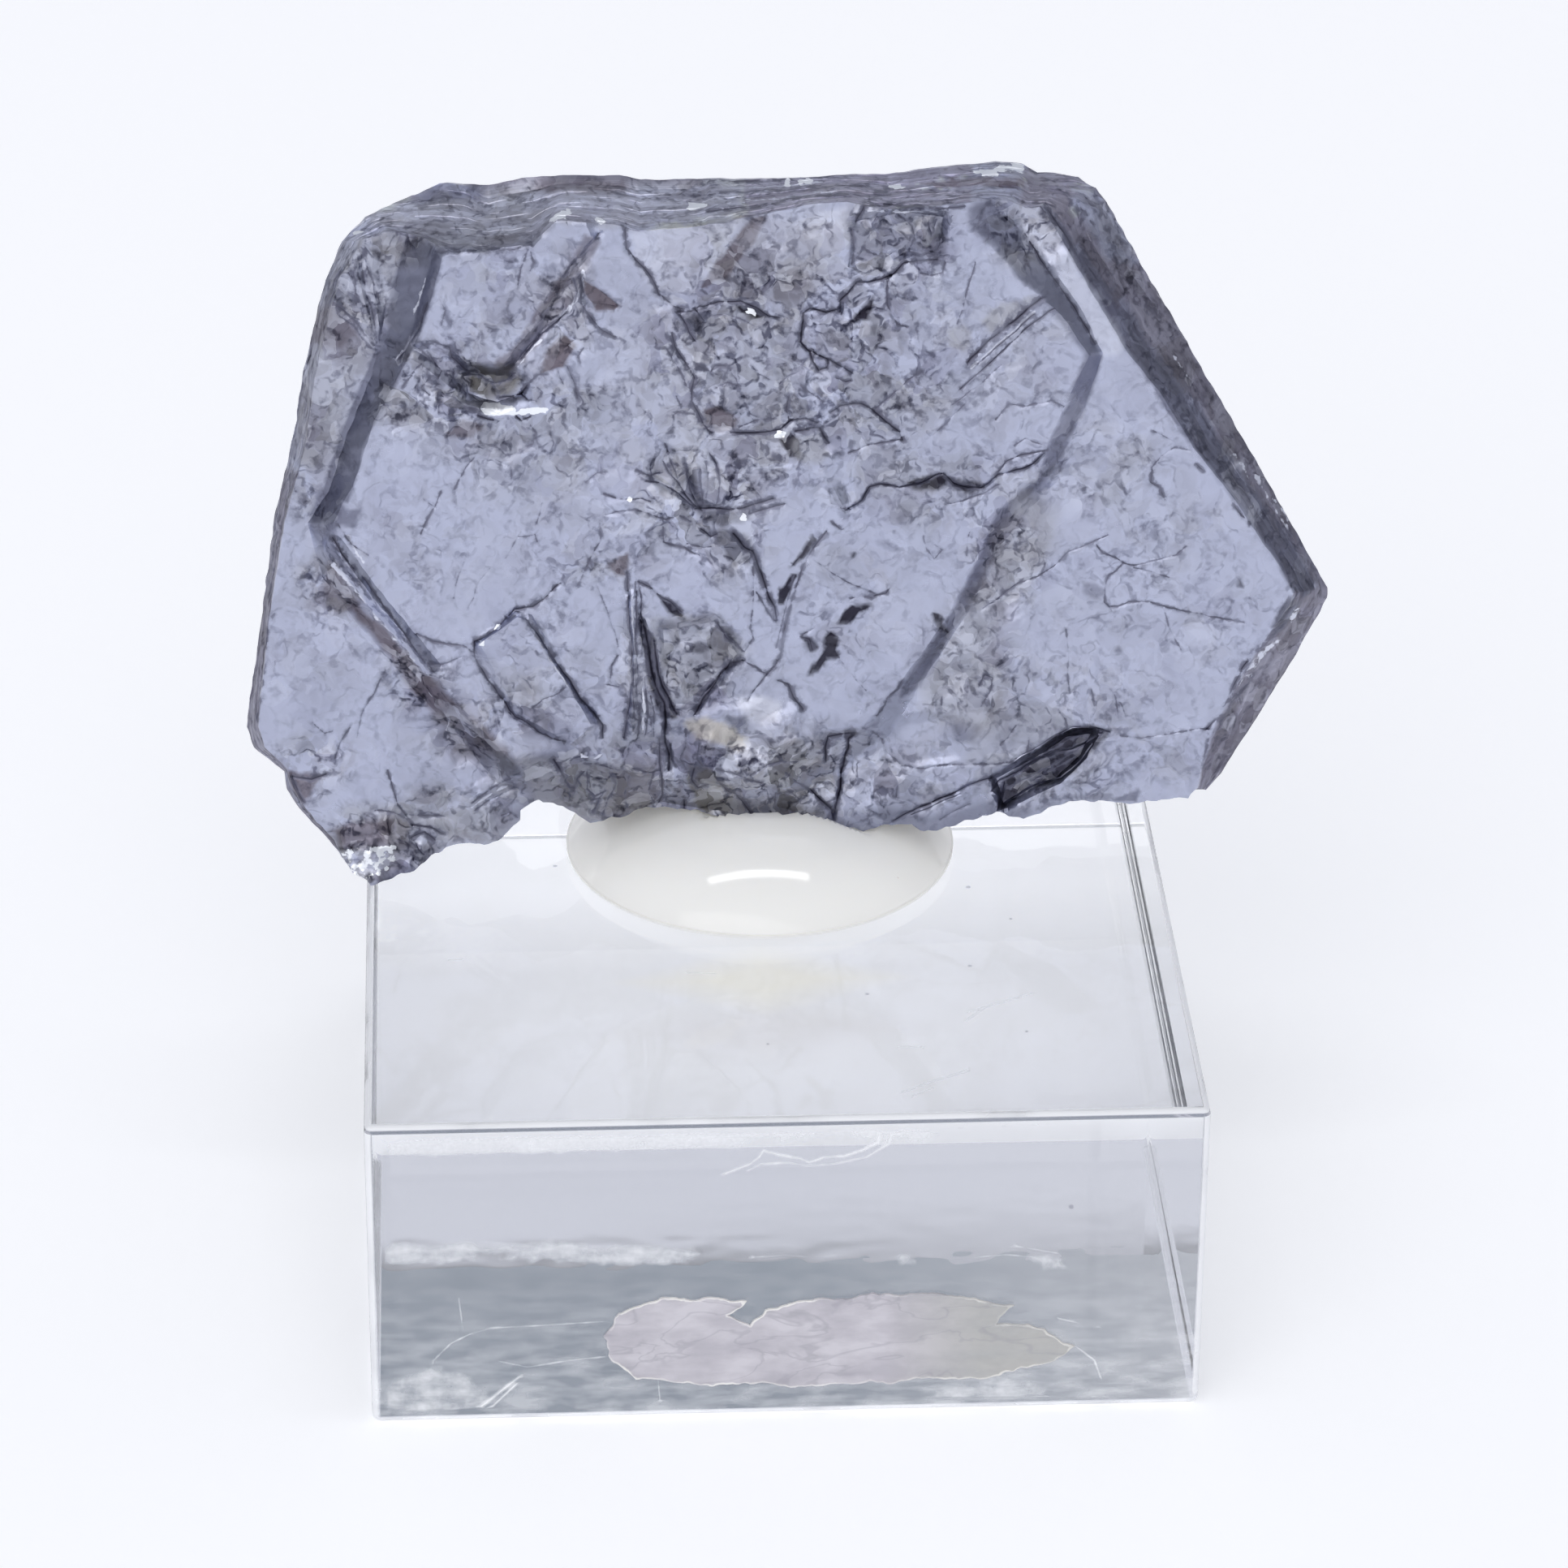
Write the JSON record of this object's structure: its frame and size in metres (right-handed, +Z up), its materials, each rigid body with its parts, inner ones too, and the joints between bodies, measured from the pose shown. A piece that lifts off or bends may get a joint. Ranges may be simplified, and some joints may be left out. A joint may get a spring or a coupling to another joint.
{
  "type": "molybdenite specimen",
  "caption": "Six-sided metallic grey molybdenite crystal plate standing in putty on a clear square display block with a blank film label.",
  "frame": {"origin": "centre of the display block's underside, on the surface it stands on", "axes": "+Z up, +Y from the front of the block to its back, +X to the right as seen from the front; the crystal's broad face looks along -Y and leans back 8 degrees"},
  "size_m": [0.0407, 0.0301, 0.0391],
  "materials": {
    "molybdenite": "soft metallic lavender grey, rougher and darker on the layered edges",
    "putty": "smooth waxy ivory",
    "clear_acrylic": "clear, scuffed on the lower front",
    "label_film": "translucent off-white film"
  },
  "bodies": {
    "root": {"molybdenite_crystal": "molybdenite", "putty": "putty", "acrylic_block": "clear_acrylic", "label_film": "label_film"}
  },
  "joints": []
}
